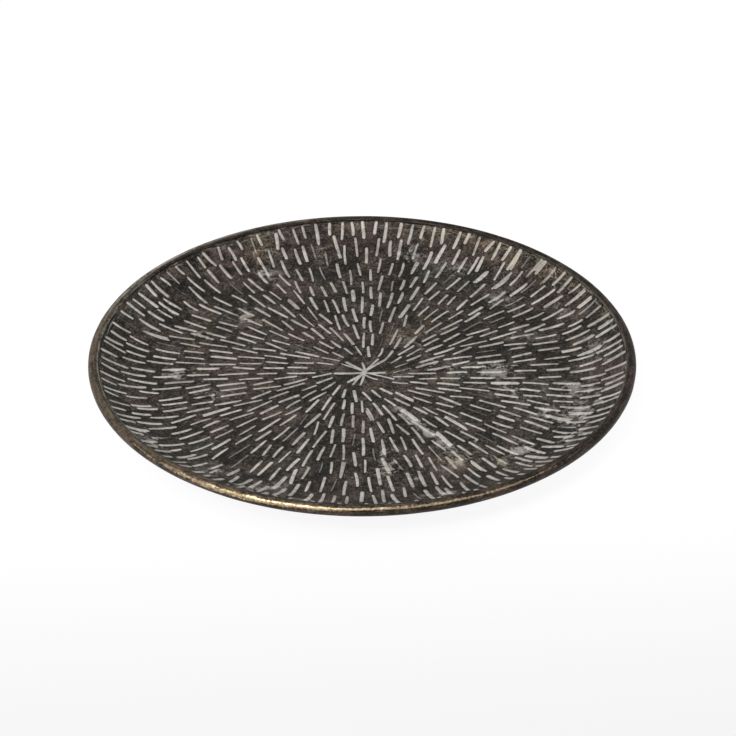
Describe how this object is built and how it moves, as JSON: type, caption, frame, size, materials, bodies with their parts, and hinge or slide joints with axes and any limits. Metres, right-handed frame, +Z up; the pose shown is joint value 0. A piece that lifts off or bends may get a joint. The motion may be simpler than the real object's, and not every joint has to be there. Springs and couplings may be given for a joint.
{
  "type": "serving tray",
  "caption": "Round shallow metal tray with a dark patina, raised radial strokes over the dish and a rounded brass rim.",
  "frame": {"origin": "on the tray's axis, at the level of the felt pads' undersides", "axes": "+Z up along the tray's axis of symmetry; X and Y lie in the plane of the floor, two of the pads on the diagonal between +X and +Y"},
  "size_m": [0.35, 0.35, 0.0203],
  "materials": {
    "patina_brass": "dark mottled patina, rubbed pale on the raised strokes",
    "worn_brass": "aged brown, polished bright along the crest",
    "steel_wire": "drawn wire",
    "felt": "charcoal felt"
  },
  "bodies": {
    "root": {"tray_pan": "patina_brass", "rim_hoop": "worn_brass", "rim_wire": "steel_wire", "felt_pad_1": "felt", "felt_pad_2": "felt", "felt_pad_3": "felt", "felt_pad_4": "felt"}
  },
  "joints": []
}
